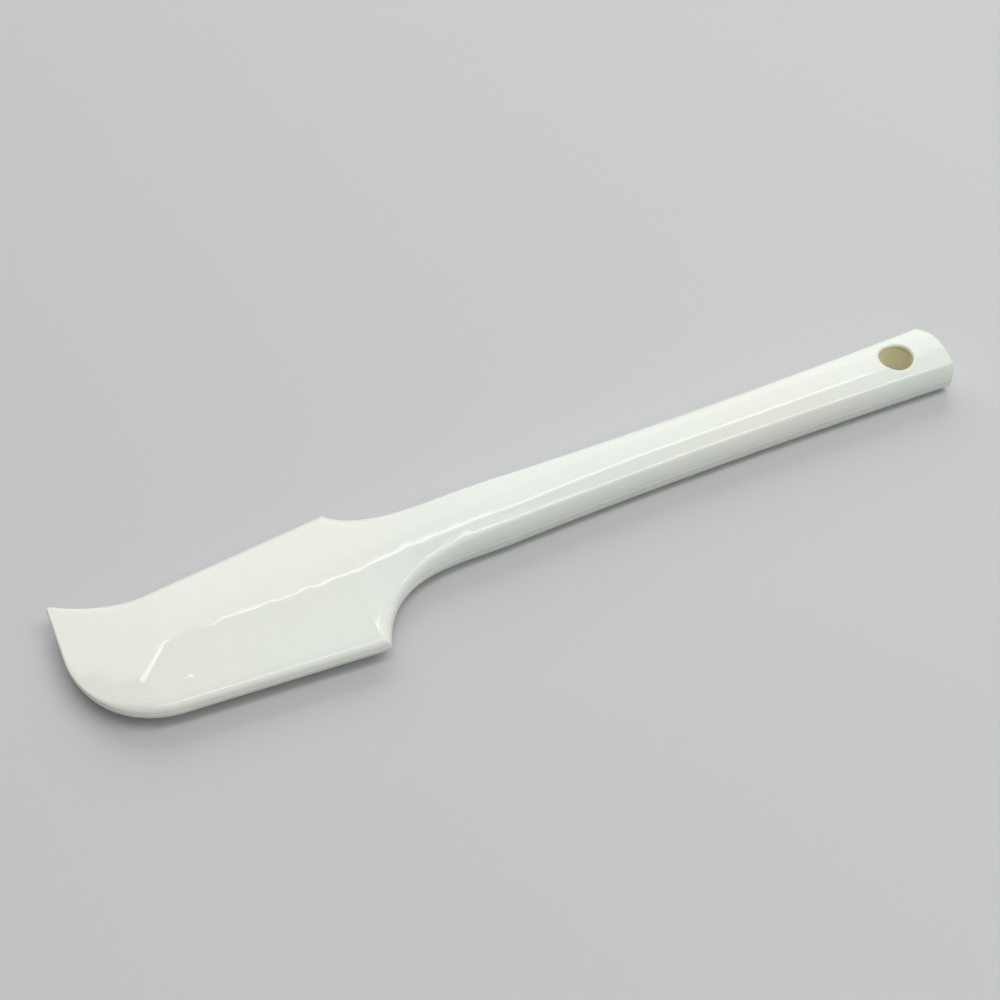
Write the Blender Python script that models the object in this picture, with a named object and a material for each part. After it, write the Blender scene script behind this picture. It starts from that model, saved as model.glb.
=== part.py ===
"""Pastry spatula: a soft silicone skin moulded in one piece over a stiff nylon core.

The plan is drawn in the mould's own frame: x runs from the blade's tip edge along the handle's centre
line, +y is the side with the blade's pointed corner, and z = 0 is the parting plane, about which both
pieces are symmetric. A parent empty then stands the spatula on its handle's flat underside.
"""
import math

import bmesh
import bpy
from mathutils import Vector
from mathutils.geometry import interpolate_bezier

MM = 0.001

# Plan of the blade
LENGTH = 237.2 * MM
TIP_CORNER_X = 0.7 * MM
TIP_CORNER_Y = 18.9 * MM
TIP_CORNER_CLIP = 1.3 * MM
FLARE_ANGLE = math.radians(-36.3)
FLARE_PULL = 5.1 * MM
FLARE_END_X = 22.9 * MM
FLARE_END_Y = 11.7 * MM
FLARE_END_PULL = 8.0 * MM
ROUND_CORNER_TOP_Y = 1.0 * MM
ROUND_CORNER_TOP_PULL = 11.9 * MM
ROUND_CORNER_END_X = 21.3 * MM
ROUND_CORNER_END_Y = -23.1 * MM
ROUND_CORNER_END_PULL = 14.3 * MM
SHOULDER_X = 70.0 * MM
FAR_SHOULDER_Y = 16.8 * MM
NEAR_SHOULDER_Y = -26.6 * MM

# Plan of the neck and the handle
FAR_NECK_ANGLE = math.radians(-53.5)
FAR_NECK_PULL = 10.9 * MM
NEAR_NECK_ANGLE = math.radians(69.8)
NEAR_NECK_PULL = 21.3 * MM
HANDLE_NECK_PULL = 15.7 * MM
HANDLE_START_X = 110.0 * MM
WAIST_HALF_WIDTH = 7.95 * MM
WAIST_X = 163.3 * MM
START_HALF_WIDTH = 8.95 * MM
END_HALF_WIDTH = 9.2 * MM
END_FAR_LENGTH = 5.5 * MM
END_NEAR_LENGTH = 1.0 * MM
END_FULLNESS = 1.9
END_EDGE_ROUND = 0.7 * MM

# Section of the skin, as heights above the parting plane
BLADE_CREST = 3.35 * MM
BLADE_CROWN = 0.7 * MM
BLADE_EDGE = 0.75 * MM
BLADE_EDGE_ROUND = 2.2 * MM
HANDLE_CREST = 5.6 * MM
HANDLE_CROWN = 0.6 * MM
HANDLE_LAND = 0.25 * MM
HANDLE_ROUND = 4.0 * MM
RIDGE_SHARE = 0.68
NECK_RAMP_START_X = 64.0 * MM
NECK_RAMP_END_X = 110.0 * MM
FLAT_BAND_HALF_WIDTH = 2.7 * MM
BLADE_BAND_Y = -2.1 * MM

# Thin lip in front of the blade's thick pad
LIP_EDGE_ROUND = 0.7 * MM
LIP_LENGTH_NEAR = 15.0 * MM
LIP_LENGTH_FAR = 25.0 * MM
LIP_TURN_Y = -16.0 * MM
LIP_TURN_WIDTH = 18.0 * MM
LIP_START_SHARE = 0.05

# Hanging hole
HOLE_FROM_END = 13.4 * MM
HOLE_RADIUS = 4.35 * MM
HOLE_CHAMFER = 0.7 * MM

# Nylon core and the skin's wall over it
CORE_CLEARANCE = 0.3 * MM
SKIN_OVER_BAR = 2.3 * MM
SKIN_BESIDE_BAR = 3.05 * MM
SKIN_OVER_TONGUE = 2.25 * MM
SKIN_BESIDE_TONGUE = 5.0 * MM
SKIN_OVER_EYE = 1.7 * MM
BAR_CHAMFER = 1.0 * MM
TONGUE_CHAMFER = 0.4 * MM
TONGUE_START_X = 27.0 * MM
TONGUE_CORNER_RADIUS = 6.0 * MM
EYE_WALL = 1.7 * MM
WINDOW_RADIUS = 3.0 * MM
WINDOW_COLUMNS = 3
WINDOW_ROWS = 2
SLOT_HALF_WIDTH = 1.8 * MM
SLOT_LENGTH = 14.0 * MM
SLOT_COUNT = 3

# Fineness of the mesh
TIP_STEPS = 8
CORNER_STEPS = 9
BLADE_STEPS = 7
NECK_STEPS = 12
HANDLE_STEPS = 12
END_STEPS = 10
END_NEAR_STEPS = 3
ROUND_STEPS = 5
FACET_STEPS = 3
CIRCLE_STEPS = 72
WINDOW_STEPS = 16
CUTTER_OVERSHOOT = 2.0 * MM

HOLE_X = LENGTH - HOLE_FROM_END
HANDLE_END_X = LENGTH - END_FAR_LENGTH
RIDGE_ANGLE = math.acos(1.0 - RIDGE_SHARE)
EYE_RADIUS = HOLE_RADIUS + EYE_WALL


def smooth(share):
    """Rise from 0 to 1 with level ends."""
    share = min(max(share, 0.0), 1.0)
    return share * share * (3.0 - 2.0 * share)


def along_neck(blade_value, handle_value, x):
    """A size that changes from its blade value to its handle value over the neck's ramp."""
    share = smooth((x - NECK_RAMP_START_X) / (NECK_RAMP_END_X - NECK_RAMP_START_X))
    return blade_value + (handle_value - blade_value) * share


def direction(angle):
    return Vector((math.cos(angle), math.sin(angle)))


def curve(start, start_pull, end_pull, end, steps):
    """Points of a Bezier curve whose handles are given as vectors from its two ends."""
    points = interpolate_bezier(start, start + start_pull, end + end_pull, end, steps + 1)
    return [Vector(point[:2]) for point in points]


def straight(start, end, steps):
    return [start.lerp(end, step / steps) for step in range(steps + 1)]


def join(*runs):
    """Chain runs of points whose ends meet, with each shared point kept once."""
    points = list(runs[0])
    for run in runs[1:]:
        points.extend(run[1:])
    return points


def handle_half_width(x):
    """The handle's side is two half parabolas that meet at the waist, where it is narrowest."""
    if x < WAIST_X:
        reach = (x - WAIST_X) / (HANDLE_START_X - WAIST_X)
        return WAIST_HALF_WIDTH + (START_HALF_WIDTH - WAIST_HALF_WIDTH) * reach ** 2
    reach = (x - WAIST_X) / (LENGTH - WAIST_X)
    return WAIST_HALF_WIDTH + (END_HALF_WIDTH - WAIST_HALF_WIDTH) * reach ** 2


def handle_side_direction(side):
    step = 0.1 * MM
    rise = handle_half_width(HANDLE_START_X + step) - handle_half_width(HANDLE_START_X)
    return Vector((step, side * rise)).normalized()


def handle_side(side):
    """Side of the handle from the neck to the middle of its end.

    The end is cut square. Its corner on the near side is nearly sharp, and the far one is rounded.
    """
    length = END_FAR_LENGTH if side > 0 else END_NEAR_LENGTH
    corner_x = LENGTH - length
    stations = [HANDLE_START_X + (HANDLE_END_X - HANDLE_START_X) * step / HANDLE_STEPS
                for step in range(HANDLE_STEPS + 1)]
    if side < 0:
        stations += [HANDLE_END_X + (corner_x - HANDLE_END_X) * step / END_NEAR_STEPS
                     for step in range(1, END_NEAR_STEPS + 1)]
    points = [Vector((x, side * handle_half_width(x))) for x in stations]
    steps = HANDLE_STEPS + END_STEPS + 1 - len(points)
    for step in range(1, steps + 1):
        angle = 0.5 * math.pi * step / steps
        x = corner_x + length * math.sin(angle) ** (2.0 / END_FULLNESS)
        points.append(Vector((x, side * handle_half_width(x) * math.cos(angle) ** (2.0 / END_FULLNESS))))
    points[-1] = Vector((LENGTH, 0.0))
    return points


def neck_side(side, start, end_half_width):
    """Concave sweep from a shoulder into the side of the handle, or of the core's bar."""
    if side > 0:
        start_pull = FAR_NECK_PULL * direction(FAR_NECK_ANGLE)
    else:
        start_pull = NEAR_NECK_PULL * direction(NEAR_NECK_ANGLE)
    end = Vector((HANDLE_START_X, side * end_half_width))
    end_pull = -HANDLE_NECK_PULL * handle_side_direction(side)
    return curve(start, start_pull, end_pull, end, NECK_STEPS)


def blade_edge(side):
    """Ends of the blade's straight edge on one side, at the tip and at the shoulder."""
    if side > 0:
        return Vector((FLARE_END_X, FLARE_END_Y)), Vector((SHOULDER_X, FAR_SHOULDER_Y))
    return Vector((ROUND_CORNER_END_X, ROUND_CORNER_END_Y)), Vector((SHOULDER_X, NEAR_SHOULDER_Y))


def blade_edge_y(side, x):
    """Where the line of a straight edge lies at x."""
    start, shoulder = blade_edge(side)
    return start.y + (shoulder.y - start.y) * (x - start.x) / (shoulder.x - start.x)


def far_side():
    """Outline on the pointed corner's side, from the tip to the end of the handle."""
    corner = Vector((TIP_CORNER_X, TIP_CORNER_Y))
    flare_start = corner + TIP_CORNER_CLIP * direction(FLARE_ANGLE)
    flare_end, shoulder = blade_edge(1)
    edge = (shoulder - flare_end).normalized()
    return join(
        curve(flare_start, FLARE_PULL * direction(FLARE_ANGLE), -FLARE_END_PULL * edge,
              flare_end, CORNER_STEPS),
        straight(flare_end, shoulder, BLADE_STEPS),
        neck_side(1, shoulder, handle_half_width(HANDLE_START_X)),
        handle_side(1),
    )


def near_side():
    """Outline on the rounded corner's side, from the tip to the end of the handle."""
    corner_top = Vector((0.0, ROUND_CORNER_TOP_Y))
    corner_end, shoulder = blade_edge(-1)
    edge = (shoulder - corner_end).normalized()
    return join(
        curve(corner_top, Vector((0.0, -ROUND_CORNER_TOP_PULL)), -ROUND_CORNER_END_PULL * edge,
              corner_end, CORNER_STEPS),
        straight(corner_end, shoulder, BLADE_STEPS),
        neck_side(-1, shoulder, handle_half_width(HANDLE_START_X)),
        handle_side(-1),
    )


def tip_edge():
    """Points between the two sides along the tip, the last of them at the clipped corner."""
    start = Vector((0.0, ROUND_CORNER_TOP_Y))
    corner = Vector((TIP_CORNER_X, TIP_CORNER_Y))
    clipped = corner + TIP_CORNER_CLIP * (start - corner).normalized()
    return straight(start, clipped, TIP_STEPS - 1)[1:]


def inset(loop, widths):
    """The outline moved inwards by its own width at each point, with mitred corners."""
    moved = []
    for index, point in enumerate(loop):
        before = (point - loop[index - 1]).normalized()
        after = (loop[(index + 1) % len(loop)] - point).normalized()
        tangent = (before + after).normalized()
        inward = Vector((tangent.y, -tangent.x))
        moved.append(point + inward * (widths[index] / before.dot(tangent)))
    return moved


def round_width(x):
    """Width over which the skin's surface rounds off to its edge."""
    lip = LIP_EDGE_ROUND + (BLADE_EDGE_ROUND - LIP_EDGE_ROUND) * smooth(x / LIP_LENGTH_NEAR)
    return along_neck(lip, HANDLE_ROUND, x)


def lip_share(point):
    """Share of the pad's height: it grows evenly over the lip and is 1 on the pad."""
    turn = smooth((point.y - LIP_TURN_Y) / LIP_TURN_WIDTH)
    length = LIP_LENGTH_NEAR + (LIP_LENGTH_FAR - LIP_LENGTH_NEAR) * turn
    return LIP_START_SHARE + (1.0 - LIP_START_SHARE) * min(max(point.x / length, 0.0), 1.0)


def skin_height(point, fall, rounding):
    """Height of the skin over the parting plane.

    The crest falls towards the ridges where the edge's rounding starts: fall is 0 on the flat band and 1 at
    a ridge. rounding is the sine of the rounding's angle: 0 at the edge and its most at the ridge.
    """
    edge = along_neck(BLADE_EDGE, HANDLE_LAND, point.x)
    crest = along_neck(BLADE_CREST, HANDLE_CREST, point.x) - edge
    crown = along_neck(BLADE_CROWN, HANDLE_CROWN, point.x)
    ridge = (crest - crown) * rounding
    return edge + (crest + (ridge - crest) * fall) * lip_share(point)


def handle_place(point):
    """Fall and rounding of the skin's height at a point of the handle."""
    half_width = handle_half_width(point.x)
    depth = max(half_width - abs(point.y), 0.0) / HANDLE_ROUND
    if depth < RIDGE_SHARE:
        return 1.0, math.sin(math.acos(1.0 - depth))
    reach = half_width - RIDGE_SHARE * HANDLE_ROUND - FLAT_BAND_HALF_WIDTH
    return max((abs(point.y) - FLAT_BAND_HALF_WIDTH) / reach, 0.0), math.sin(RIDGE_ANGLE)


def end_point(point, tangent, share):
    """A point of the handle's end moved inwards over the end's small edge rounding.

    It stays inside the line that the same step of the side's rounding draws along the handle.
    """
    small = END_EDGE_ROUND * (1.0 - math.cos(0.5 * math.pi * share))
    inward = Vector((tangent.y, -tangent.x))
    moved = point + inward * small
    most = handle_half_width(moved.x) - HANDLE_ROUND * (1.0 - math.cos(RIDGE_ANGLE * share))
    moved.y = math.copysign(min(abs(moved.y), most), moved.y)
    return moved


def nearest_place(point, start, finish):
    """Place on the stretch from start to finish that is nearest to a point."""
    way = finish - start
    share = (point - start).dot(way) / way.length_squared
    return start + way * min(max(share, 0.0), 1.0)


def end_drop(point, end_loop):
    """How far the end's edge rounding lowers the skin at a point near the end's outline."""
    gap = min((point - nearest_place(point, start, finish)).length
              for start, finish in zip(end_loop, end_loop[1:]))
    depth = 1.0 - min(gap / END_EDGE_ROUND, 1.0)
    return END_EDGE_ROUND * (1.0 - math.sqrt(1.0 - depth ** 2))


def band_row(near, far):
    """Points and falls across the skin, from one inset side to the other, over the flat band."""
    middle_y = along_neck(BLADE_BAND_Y, 0.0, 0.5 * (near.x + far.x))
    span = far.y - near.y
    low = min(max((middle_y - FLAT_BAND_HALF_WIDTH - near.y) / span, 0.1), 0.7)
    high = min(max((middle_y + FLAT_BAND_HALF_WIDTH - near.y) / span, low + 0.2), 0.9)
    row = []
    for step in range(1, FACET_STEPS + 1):
        row.append((near.lerp(far, low * step / FACET_STEPS), 1.0 - step / FACET_STEPS))
    row.append((near.lerp(far, 0.5 * (low + high)), 0.0))
    for step in range(FACET_STEPS):
        share = high + (1.0 - high) * step / FACET_STEPS
        row.append((near.lerp(far, share), step / FACET_STEPS))
    return row


def skin_outside():
    """Closed outer form of the skin: edge roundings all round, then rows across the middle."""
    far = far_side()
    near = near_side()
    tip = tip_edge()
    loop = far + near[-2::-1] + tip
    widths = [round_width(point.x) for point in loop]
    last = len(far) - 1
    end_range = range(last - END_STEPS + 1, last + END_STEPS)
    end_loop = loop[last - END_STEPS:last + END_STEPS + 1]
    mesh = bmesh.new()

    def add_pair(point, fall, rounding, drop=0.0):
        if point.x > HANDLE_START_X:
            fall, rounding = handle_place(point)
        height = max(skin_height(point, fall, rounding) - drop, HANDLE_LAND)
        return [mesh.verts.new((point.x, point.y, side * height)) for side in (1, -1)]

    rings = []
    for step in range(ROUND_STEPS + 1):
        angle = RIDGE_ANGLE * step / ROUND_STEPS
        moved = inset(loop, [width * (1.0 - math.cos(angle)) for width in widths])
        drops = [0.0] * len(loop)
        for index in end_range:
            tangent = (loop[index + 1] - loop[index - 1]).normalized()
            moved[index] = end_point(loop[index], tangent, step / ROUND_STEPS)
            drops[index] = end_drop(moved[index], end_loop)
        rings.append([add_pair(point, 1.0, math.sin(angle), drop) for point, drop in zip(moved, drops)])
    inner_points = moved
    inner = rings[-1]

    rows = [[inner[-len(tip) - 1]] + inner[-len(tip):] + [inner[0]]]
    for index in range(1, last):
        near_index = 2 * last - index
        row = [inner[near_index]]
        for point, fall in band_row(inner_points[near_index], inner_points[index]):
            row.append(add_pair(point, fall, math.sin(RIDGE_ANGLE)))
        rows.append(row + [inner[index]])
    rows.append([inner[last]] * len(rows[-1]))

    for top in (0, 1):
        for outer, inside in zip(rings, rings[1:]):
            for index in range(len(loop)):
                following = (index + 1) % len(loop)
                add_face(mesh, [outer[index][top], outer[following][top],
                                inside[following][top], inside[index][top]])
        for row, following_row in zip(rows, rows[1:]):
            for index in range(len(row) - 1):
                add_face(mesh, [row[index][top], row[index + 1][top],
                                following_row[index + 1][top], following_row[index][top]])
    edge = rings[0]
    for index in range(len(loop)):
        following = (index + 1) % len(loop)
        add_face(mesh, [edge[index][0], edge[following][0], edge[following][1], edge[index][1]])
    return mesh


def add_face(mesh, corners):
    """Add a face, with corners that coincide taken once."""
    unique = list(dict.fromkeys(corners))
    if len(unique) > 2:
        mesh.faces.new(unique)


def core_side(side, grow):
    """One side of the core: the tongue's corner and edge, the neck and the bar up to the eye."""
    beside = SKIN_BESIDE_TONGUE - grow
    radius = TONGUE_CORNER_RADIUS + grow
    start_x = TONGUE_START_X - grow
    corner_y = blade_edge_y(side, start_x + radius) - side * (beside + radius)
    corner = []
    for step in range(CORNER_STEPS + 1):
        turn = 0.5 * math.pi * step / CORNER_STEPS
        x = start_x + radius * (1.0 - math.cos(turn))
        corner.append(Vector((x, corner_y + side * radius * math.sin(turn))))
    neck_x = SHOULDER_X - beside
    neck_start = Vector((neck_x, blade_edge_y(side, neck_x) - side * beside))
    bar_half_width = WAIST_HALF_WIDTH - SKIN_BESIDE_BAR + grow
    neck = neck_side(side, neck_start, bar_half_width)
    return join(
        corner,
        straight(corner[-1], neck_start, BLADE_STEPS),
        neck,
        straight(neck[-1], Vector((HOLE_X, side * bar_half_width)), HANDLE_STEPS),
    )


def core_bar(grow):
    """Tongue, neck and bar of the core, as eight-sided sections joined one to the next."""
    mesh = bmesh.new()
    sections = []
    for near, far in zip(core_side(-1, grow), core_side(1, grow)):
        across = (far - near).normalized()
        x = 0.5 * (near.x + far.x)
        height = along_neck(BLADE_CREST - SKIN_OVER_TONGUE, HANDLE_CREST - SKIN_OVER_BAR, x) + grow
        chamfer = min(along_neck(TONGUE_CHAMFER, BAR_CHAMFER, x), 0.5 * height)
        corners = [
            (near, -(height - chamfer)),
            (near + chamfer * across, -height),
            (far - chamfer * across, -height),
            (far, -(height - chamfer)),
            (far, height - chamfer),
            (far - chamfer * across, height),
            (near + chamfer * across, height),
            (near, height - chamfer),
        ]
        sections.append([mesh.verts.new((point.x, point.y, z)) for point, z in corners])
    for section, following in zip(sections, sections[1:]):
        for index in range(len(section)):
            after = (index + 1) % len(section)
            mesh.faces.new([section[index], section[after], following[after], following[index]])
    mesh.faces.new(sections[0])
    mesh.faces.new(sections[-1])
    return mesh


def turned(profile, centre_x, steps):
    """Closed solid of revolution about the vertical through centre_x, from (radius, z) pairs."""
    mesh = bmesh.new()
    verts = [mesh.verts.new((centre_x + radius, 0.0, z)) for radius, z in profile]
    edges = [mesh.edges.new(pair) for pair in zip(verts, verts[1:])]
    bmesh.ops.spin(mesh, geom=verts + edges, cent=(centre_x, 0.0, 0.0), axis=(0.0, 0.0, 1.0),
                   angle=2.0 * math.pi, steps=steps, use_merge=True)
    bmesh.ops.remove_doubles(mesh, verts=mesh.verts, dist=0.001 * MM)
    return mesh


def eye_ring(grow):
    """Collar of the core round the hanging hole, before the hole is cut."""
    radius = EYE_RADIUS + grow
    height = HANDLE_CREST - SKIN_OVER_EYE + grow
    return turned([(0.0, -height), (radius, -height), (radius, height), (0.0, height)], HOLE_X, CIRCLE_STEPS)


def hole_form():
    """The hanging hole with a chamfered mouth on each face of the skin."""
    reach = HANDLE_CREST + CUTTER_OVERSHOOT
    mouth = HOLE_RADIUS + HOLE_CHAMFER + CUTTER_OVERSHOOT
    throat = HANDLE_CREST - HOLE_CHAMFER
    profile = [(0.0, -reach), (mouth, -reach), (HOLE_RADIUS, -throat),
               (HOLE_RADIUS, throat), (mouth, reach), (0.0, reach)]
    return turned(profile, HOLE_X, CIRCLE_STEPS)


def pin_forms(grow):
    """Round windows through the tongue and long slots through the bar, as one set of upright pins."""
    mesh = bmesh.new()
    height = 2.0 * (HANDLE_CREST + CUTTER_OVERSHOOT)
    column_pitch = (SHOULDER_X - SKIN_BESIDE_TONGUE - TONGUE_START_X) / WINDOW_COLUMNS
    for column in range(WINDOW_COLUMNS):
        x = TONGUE_START_X + column_pitch * (column + 0.5)
        near_y = blade_edge_y(-1, x) + SKIN_BESIDE_TONGUE
        far_y = blade_edge_y(1, x) - SKIN_BESIDE_TONGUE
        for row in range(WINDOW_ROWS):
            y = near_y + (far_y - near_y) * (row + 0.5) / WINDOW_ROWS
            add_prism(mesh, Vector((x, y)), WINDOW_RADIUS - grow, 0.0, height)
    slot_pitch = (HOLE_X - EYE_RADIUS - HANDLE_START_X) / SLOT_COUNT
    for index in range(SLOT_COUNT):
        centre = Vector((HANDLE_START_X + slot_pitch * (index + 0.5), 0.0))
        add_prism(mesh, centre, SLOT_HALF_WIDTH - grow, 0.5 * SLOT_LENGTH - SLOT_HALF_WIDTH, height)
    return mesh


def add_prism(mesh, centre, radius, half_straight, height):
    """Upright pin whose outline is a circle, or a slot where half_straight is more than 0."""
    outline = []
    for step in range(WINDOW_STEPS):
        angle = 2.0 * math.pi * (step + 0.5) / WINDOW_STEPS
        shift = half_straight if math.cos(angle) > 0.0 else -half_straight
        outline.append(centre + radius * direction(angle) + Vector((shift, 0.0)))
    bottom = [mesh.verts.new((point.x, point.y, -0.5 * height)) for point in outline]
    face = mesh.faces.new(bottom)
    raised = bmesh.ops.extrude_face_region(mesh, geom=[face])
    verts = [item for item in raised["geom"] if isinstance(item, bmesh.types.BMVert)]
    bmesh.ops.translate(mesh, verts=verts, vec=(0.0, 0.0, height))


def add_object(name, mesh, parent, material=None):
    """Turn a bmesh into an object with its faces pointing out. Without a material it is a cutter."""
    bmesh.ops.recalc_face_normals(mesh, faces=mesh.faces)
    data = bpy.data.meshes.new(name)
    mesh.to_mesh(data)
    mesh.free()
    data.shade_smooth()
    data.set_sharp_from_angle(angle=math.radians(35.0))
    thing = bpy.data.objects.new(name, data)
    bpy.context.scene.collection.objects.link(thing)
    thing.parent = parent
    if material:
        data.materials.append(material)
    else:
        thing.hide_render = True
        thing.display_type = 'WIRE'
    return thing


def add_boolean(thing, other, operation):
    modifier = thing.modifiers.new(other.name, 'BOOLEAN')
    modifier.operation = operation
    modifier.solver = 'EXACT'
    modifier.object = other


def add_material(name, colour, roughness):
    material = bpy.data.materials.new(name)
    material.use_nodes = True
    shader = material.node_tree.nodes["Principled BSDF"]
    shader.inputs["Base Color"].default_value = (*colour, 1.0)
    shader.inputs["Roughness"].default_value = roughness
    shader.inputs["Metallic"].default_value = 0.0
    return material


def add_core(name, grow, parent, material=None):
    """The core, or with grow the room that the skin leaves for it."""
    core = add_object(name, core_bar(grow), parent, material)
    add_boolean(core, add_object(name + "_eye", eye_ring(grow), parent), 'UNION')
    add_boolean(core, add_object(name + "_windows", pin_forms(grow), parent), 'DIFFERENCE')
    return core


def clear_scene():
    for thing in list(bpy.data.objects):
        bpy.data.objects.remove(thing, do_unlink=True)


def main():
    clear_scene()
    outline_y = [point.y for point in far_side() + near_side()]
    stand = bpy.data.objects.new("stand", None)
    stand.location = (-0.5 * LENGTH, -0.5 * (min(outline_y) + max(outline_y)), HANDLE_CREST)
    bpy.context.scene.collection.objects.link(stand)

    silicone = add_material("white_silicone", (0.86, 0.87, 0.84), 0.25)
    nylon = add_material("natural_nylon", (0.60, 0.55, 0.38), 0.45)
    hole = add_object("hanging_hole", hole_form(), stand)

    skin = add_object("silicone_skin", skin_outside(), stand, silicone)
    add_boolean(skin, add_core("core_room", CORE_CLEARANCE, stand), 'DIFFERENCE')
    add_boolean(skin, hole, 'DIFFERENCE')

    core = add_core("nylon_core", 0.0, stand, nylon)
    add_boolean(core, hole, 'DIFFERENCE')


main()
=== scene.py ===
"""Pastry spatula: the looks of a white silicone skin moulded over a nylon core.

The skin is drawn in the mould's own frame, as the construction is: x runs from the blade's tip edge along
the handle's centre line, +y is the side of the blade's pointed corner, and z = 0 is the parting plane.
"""
import math

import bpy
import numpy as np
from bpy.props import FloatProperty, FloatVectorProperty, IntProperty, PointerProperty
from bpy.types import Operator, Panel, PropertyGroup
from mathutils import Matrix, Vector


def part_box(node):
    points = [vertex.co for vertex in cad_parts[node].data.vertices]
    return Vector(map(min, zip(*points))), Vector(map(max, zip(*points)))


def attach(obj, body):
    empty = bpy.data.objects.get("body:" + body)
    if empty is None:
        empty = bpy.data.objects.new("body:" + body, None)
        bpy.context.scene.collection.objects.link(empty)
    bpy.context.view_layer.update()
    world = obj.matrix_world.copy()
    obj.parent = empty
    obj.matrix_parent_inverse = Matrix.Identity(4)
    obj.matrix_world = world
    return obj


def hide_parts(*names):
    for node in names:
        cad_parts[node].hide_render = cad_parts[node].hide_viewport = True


bl_info = {
    "name": "Pastry Spatula",
    "version": (1, 0, 0),
    "blender": (4, 5, 0),
    "location": "3D View > Sidebar > Spatula",
    "description": "Builds the skin, the core and the stage of a moulded pastry spatula",
    "category": "Object",
}

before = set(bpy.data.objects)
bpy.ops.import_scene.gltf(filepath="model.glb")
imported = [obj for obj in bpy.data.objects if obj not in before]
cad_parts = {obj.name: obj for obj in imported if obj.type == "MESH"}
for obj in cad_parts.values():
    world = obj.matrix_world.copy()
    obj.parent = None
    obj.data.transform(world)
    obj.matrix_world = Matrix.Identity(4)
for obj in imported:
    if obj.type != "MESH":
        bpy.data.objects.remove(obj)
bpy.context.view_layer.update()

MM = 0.001
BODY = "root"
SKIN_NODE = "silicone_skin"
CORE_NODE = "nylon_core"
BOX_LOW, BOX_HIGH = (np.array(corner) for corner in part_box(SKIN_NODE))
LENGTH = float(BOX_HIGH[0] - BOX_LOW[0])
HALF_THICKNESS = 0.5 * float(BOX_HIGH[2] - BOX_LOW[2])

# Each face of the skin: its side of the parting plane, and the phase of the moulding's waves on it.
TOP, BOTTOM = (1.0, 0.0), (-1.0, 2.4)
# The moulding's soft waves: a weight, then one or two sines whose product it weighs. A sine has its turns in
# one wave length along x and along y, its offset, and its share of the face's phase.
WAVES = (
    (0.8, (1.0, 0.3, 0.0, 1.0), (0.37, -0.37, 0.0, 1.7)),
    (0.6, (0.61, -0.488, 2.1, 1.0)),
    (0.4, (1.9, 0.9, 0.0, 0.6)),
    (0.2, (3.1, -2.3, 0.0, 1.3)),
)
# The second sine of the band's sway: its size and its turns against the first, and its offset.
SWAY_SIZE, SWAY_TURNS, SWAY_OFFSET = 0.7, 1.73, 1.0
# The clipped tip corner: how far its peak leans, and the pull of its curve handles.
CLIP_LEAN, CLIP_PULL = 0.14, 0.6
# The least shares of a row that a facet and the flat band take up.
LEAST_FACET, LEAST_BAND = 0.1, 0.2
# A step that is small beside the form's features, and the fineness of a curve that is divided again.
SMALL_STEP = 0.1 * MM
CURVE_STEPS = 400
# The spread of the bell curve that evens out the inward rays, and the least that a ray faces inwards.
RAY_SPREAD = 2.4 * MM
LEAST_FACING = 0.3
# The height of the parting line's crest against its foot.
FLASH_TAPER = 0.4
# How far the hole's surroundings reach against its rim, the rows down its throat, and the share of the rim's
# rounding over which the silicone's colour turns to the nylon's beige: partly the nylon seen through thin
# silicone, partly painted warm shade inside the hole.
SURROUND = 1.35
THROAT_STEPS = 8
TINT_SHARE = 0.6
SHARP_ANGLE = math.radians(38.0)

# Rectangular lights on an arc over the row: degrees from straight above towards the back, distance, middle
# along x, length along x, degrees of the arc that the light covers, and radiance. Strips draw the highlights.
CEILING_LIGHTS = {
    "box_behind": (56.1, 1.30, 0.45, 1.90, 37.8, 1.65),
    "box_above": (15.0, 1.30, 0.45, 1.90, 31.8, 0.40),
    "box_middle": (-7.2, 1.30, 0.45, 1.90, 10.2, 2.20),
    "box_before": (-31.0, 1.30, 0.45, 1.90, 37.4, 1.30),
    "strip_tip": (35.2, 1.25, -0.13, 0.22, 3.0, 6.0),
    "strip_blade": (35.2, 1.25, 0.21, 0.30, 2.0, 6.5),
    "strip_handle": (32.3, 1.25, 0.56, 0.40, 8.0, 4.5),
    "strip_ridge": (-12.0, 1.25, 0.245, 1.19, 6.0, 5.5),
}


def length(description, millimetres):
    """A setting that holds a length, whose default is given in millimetres."""
    return FloatProperty(description=description, default=millimetres * MM, unit='LENGTH', precision=5)


def plan_point(description, millimetres):
    """A setting that holds a place in plan, whose default X and Y are given in millimetres."""
    return FloatVectorProperty(description=description, default=[value * MM for value in millimetres], size=2,
                               unit='LENGTH', precision=5)


def turn(description, degrees):
    """A setting that holds an angle, whose default is given in degrees."""
    return FloatProperty(description=description, default=math.radians(degrees), unit='ROTATION')


def share(description, default):
    """A setting between 0 and 1."""
    return FloatProperty(description=description, default=default, min=0.0, max=1.0, subtype='FACTOR')


def count(description, default):
    """A setting that counts steps."""
    return IntProperty(description=description, default=default, min=1)


def colour(description, default):
    """A setting that holds a linear colour."""
    return FloatVectorProperty(description=description, default=default, min=0.0, max=1.0, subtype='COLOR')


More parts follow.
